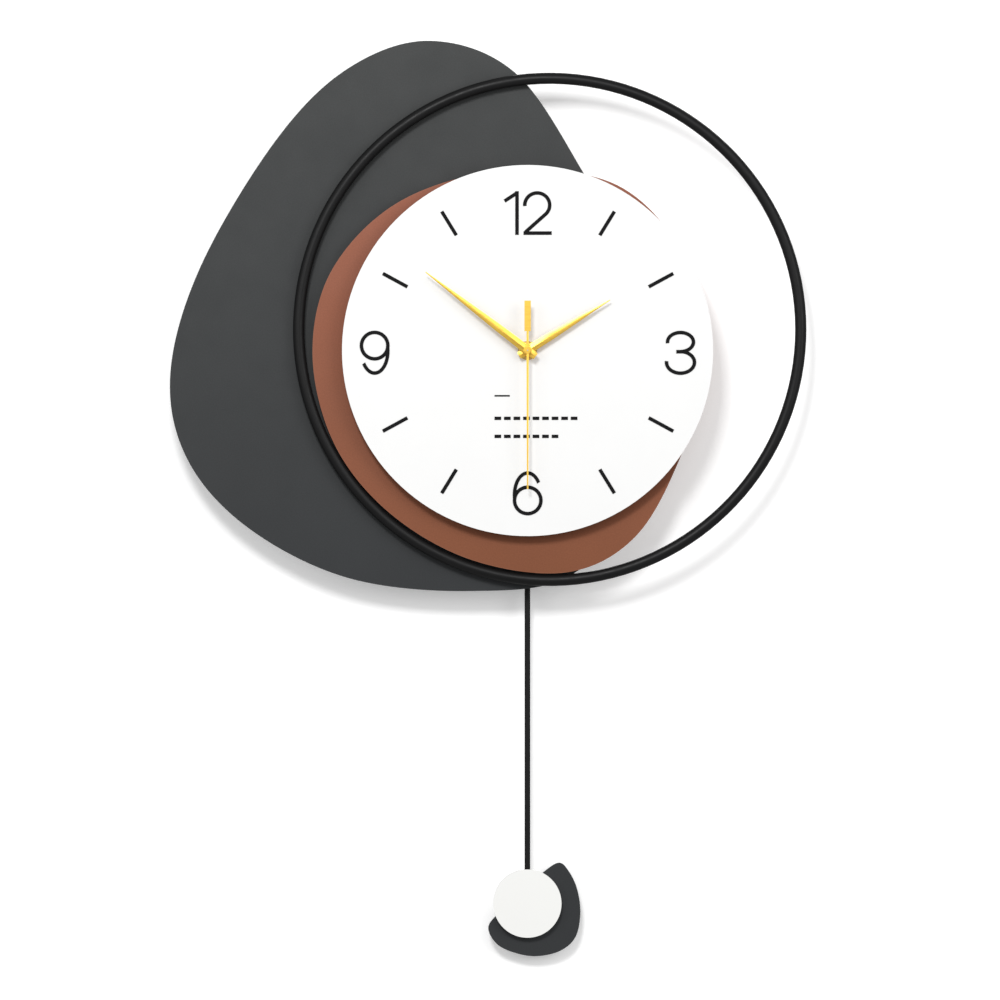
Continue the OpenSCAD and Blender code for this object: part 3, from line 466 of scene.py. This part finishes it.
# The wall is a hair behind the clock's back, and reaches down to the floor
WALL_GAP = 0.5 * MM
WALL_SIZE = (5.0, 3.4)
WALL_GLOW = 0.20
FLOOR_DROP = 1.6
FLOOR_SIZE = 40.0
FLOOR_GLOW = 0.3
WORLD_STRENGTH = 0.45


def flat_stage(name, width, depth):
    """A flat backdrop that the camera sees, and that neither lights nor mirrors in the clock."""
    bpy.ops.mesh.primitive_plane_add(size=1)
    made = bpy.context.object
    made.name = name
    made.scale = (width, depth, 1)
    made.visible_diffuse = False
    made.visible_glossy = False
    return made


def wall():
    """A plain white wall that shows its front only, so that the clock's back can be looked at."""
    made = flat_stage("wall", *WALL_SIZE)
    made.rotation_euler = (math.radians(90), 0, 0)
    made.location = (0, WALL_GAP, WALL_SIZE[1] / 2 - FLOOR_DROP)
    # The light for the clock's back passes through
    made.visible_shadow = False
    look = Look(
        "wall", Base_Color=(0.93, 0.93, 0.93, 1), Roughness=0.9, Specular_IOR_Level=0.1,
        Emission_Color=(1, 1, 1, 1), Emission_Strength=WALL_GLOW,
    )
    look.bump(look.noise(0.004, 3.0), 0.03 * MM)
    back = look.node("ShaderNodeNewGeometry").outputs["Backfacing"]
    clear = look.node("ShaderNodeBsdfTransparent").outputs[0]
    both = look.node("ShaderNodeMixShader", {0: back, 1: look.shader.outputs[0], 2: clear}).outputs[0]
    look.tree.links.new(both, look.tree.nodes["Material Output"].inputs["Surface"])
    made.data.materials.append(look.material)


def floor():
    """A plain pale floor below the clock."""
    made = flat_stage("floor", FLOOR_SIZE, FLOOR_SIZE)
    made.location = (0, 0, -FLOOR_DROP)
    look = Look("floor", Roughness=0.7, Emission_Color=(1, 1, 1, 1), Emission_Strength=FLOOR_GLOW)
    look.put("Base Color", look.varied((0.72, 0.715, 0.705), look.noise(0.8, 3.0), 0.03))
    made.data.materials.append(look.material)


def soft_light(name, azimuth, elevation, distance, size, watts):
    """A white rectangular light aimed at the dial. Its azimuth is 0 in front and positive to the right."""
    a, e = math.radians(azimuth), math.radians(elevation)
    way = Vector((math.sin(a) * math.cos(e), -math.cos(a) * math.cos(e), math.sin(e)))
    lamp = bpy.data.lights.new(name, "AREA")
    lamp.shape = "RECTANGLE"
    lamp.size, lamp.size_y = size
    lamp.energy = watts
    made = bpy.data.objects.new(name, lamp)
    made.location = centre_of("dial_plate") + way * distance
    made.rotation_mode = "QUATERNION"
    made.rotation_quaternion = way.to_track_quat("Z", "Y")
    made.visible_camera = False
    bpy.context.scene.collection.objects.link(made)


def lights():
    """An even white surround, a small key light for the shadows, soft fills and a light for the back."""
    world = bpy.data.worlds.new("studio")
    world.use_nodes = True
    background = world.node_tree.nodes["Background"]
    background.inputs["Color"].default_value = (1, 1, 1, 1)
    background.inputs["Strength"].default_value = WORLD_STRENGTH
    bpy.context.scene.world = world
    # Azimuth and elevation in degrees, distance and size in metres, power in watts
    soft_light("key", -10, 25, 2.3, (0.46, 0.46), 28)
    soft_light("left_fill", -42, 12, 2.6, (1.2, 1.4), 10)
    soft_light("right_fill", 42, 12, 2.6, (1.2, 1.4), 18)
    soft_light("upper_strip", 14, 24, 2.6, (1.2, 0.4), 4)
    soft_light("rear_fill", 165, 25, 3.4, (2.4, 1.6), 60)


# The picture's width, and how far its middle is to the right of the clock's and below it, in clock heights
VIEW_WIDTH = 1.0866
VIEW_RIGHT = 0.0131
VIEW_DROP = 0.0008
CAMERA_DISTANCE = 6.0


def camera():
    """Looks straight at the dial from far away."""
    height = cad_high.z - cad_low.z
    middle = (cad_low + cad_high) / 2
    dial_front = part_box("dial_plate")[0].y
    made = bpy.data.objects.new("camera", bpy.data.cameras.new("camera"))
    aim_x = middle.x + VIEW_RIGHT * height
    aim_z = middle.z - VIEW_DROP * height
    made.location = (aim_x, dial_front - CAMERA_DISTANCE, aim_z)
    made.rotation_euler = (math.radians(90), 0, 0)
    made.data.lens = made.data.sensor_width * CAMERA_DISTANCE / (VIEW_WIDTH * height)
    bpy.context.scene.collection.objects.link(made)
    bpy.context.scene.camera = made


camera()
wall()
floor()
lights()
dress_nodes()
shared_shading = smooth_shading()
for node_name, edge_mm in EDGE_MM.items():
    round_edges(node_name, edge_mm, shared_shading)
bpy.context.scene.view_settings.view_transform = "Standard"
